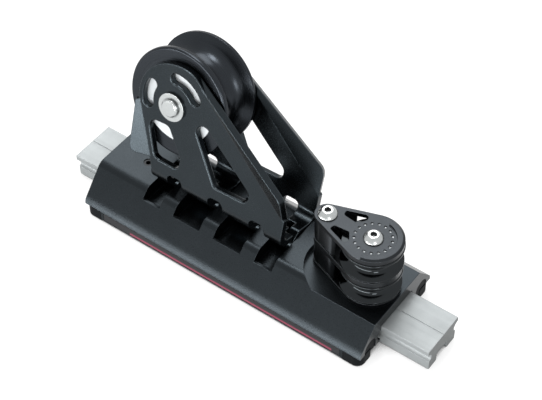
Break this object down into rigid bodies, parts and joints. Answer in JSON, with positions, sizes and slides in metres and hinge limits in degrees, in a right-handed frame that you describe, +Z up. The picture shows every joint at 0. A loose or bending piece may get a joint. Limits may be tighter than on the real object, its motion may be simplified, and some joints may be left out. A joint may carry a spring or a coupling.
{
  "type": "mainsheet traveller car",
  "caption": "Recirculating-ball traveller car on a stub of track, with a hinged head carrying a large mainsheet sheave and a stacked control block at one end.",
  "frame": {"origin": "middle of the car's length, on the plane of the track's underside, midway between the track's two bolt holes", "axes": "+X along the track towards the control block, +Y across the track towards the side that the head leans over, +Z up from the track's underside"},
  "size_m": [0.222, 0.0703, 0.1053],
  "materials": {
    "track": "satin silver anodised",
    "car_anodised": "satin dark hard anodised",
    "black_plastic": "moulded",
    "ball_plastic": "polished",
    "label_film": "bare printed film",
    "stainless": "machined",
    "black_steel": "black oxide",
    "cheek_anodised": "satin dark hard anodised",
    "bush_alloy": "turned",
    "sheave_anodised": "satin dark hard anodised",
    "ring_plastic": "moulded",
    "block_anodised": "satin dark hard anodised",
    "control_anodised": "satin dark hard anodised"
  },
  "bodies": {
    "track": {"track": "track"},
    "car": {"car_body": "car_anodised", "end_cap_near_left": "black_plastic", "end_cap_near_right": "black_plastic", "end_cap_far_left": "black_plastic", "end_cap_far_right": "black_plastic", "ball_guide_near": "black_plastic", "ball_guide_far": "black_plastic", "bearing_balls_near": "ball_plastic", "bearing_balls_far": "ball_plastic", "label_strip_near": "label_film", "label_strip_far": "label_film", "hinge_pin": "stainless", "pin_keeper_screw": "black_steel", "block_base_plate": "block_anodised", "block_middle_plate": "block_anodised", "block_top_cheek": "block_anodised", "tail_spacer_lower": "block_anodised", "tail_spacer_upper": "block_anodised", "sheave_axle_tube": "stainless", "block_screws": "stainless"},
    "head": {"cheek_near": "cheek_anodised", "cheek_far": "cheek_anodised", "axle_pin": "stainless", "axle_washer_near": "stainless", "axle_washer_far": "stainless", "axle_nut": "stainless", "sheave_bush": "bush_alloy"},
    "main_sheave": {"main_sheave": "sheave_anodised", "side_ring_near": "ring_plastic", "side_ring_far": "ring_plastic", "bearing_rollers": "ball_plastic"},
    "lower_sheave": {"lower_sheave": "control_anodised", "lower_sheave_balls": "ball_plastic"},
    "upper_sheave": {"upper_sheave": "control_anodised", "upper_sheave_balls": "ball_plastic"}
  },
  "joints": [
    {"name": "car_roll", "type": "slide", "parent": "track", "child": "car", "axis": [1, 0, 0], "range_m": [-0.02, 0.026]},
    {"name": "head_hinge", "type": "hinge", "parent": "car", "child": "head", "pos_m": [0, 0, 0.022], "axis": [1, 0, 0], "range_deg": [-10, 40]},
    {"name": "main_sheave_spin", "type": "hinge", "parent": "head", "child": "main_sheave", "pos_m": [-0.0472, 0.01412, 0.0736], "axis": [0, 0.9646, -0.2639], "continuous": true},
    {"name": "lower_sheave_spin", "type": "hinge", "parent": "car", "child": "lower_sheave", "pos_m": [0.0709, 0, 0.0318], "axis": [0, 0, 1], "continuous": true},
    {"name": "upper_sheave_spin", "type": "hinge", "parent": "car", "child": "upper_sheave", "pos_m": [0.0709, 0, 0.0481], "axis": [0, 0, 1], "continuous": true}
  ]
}
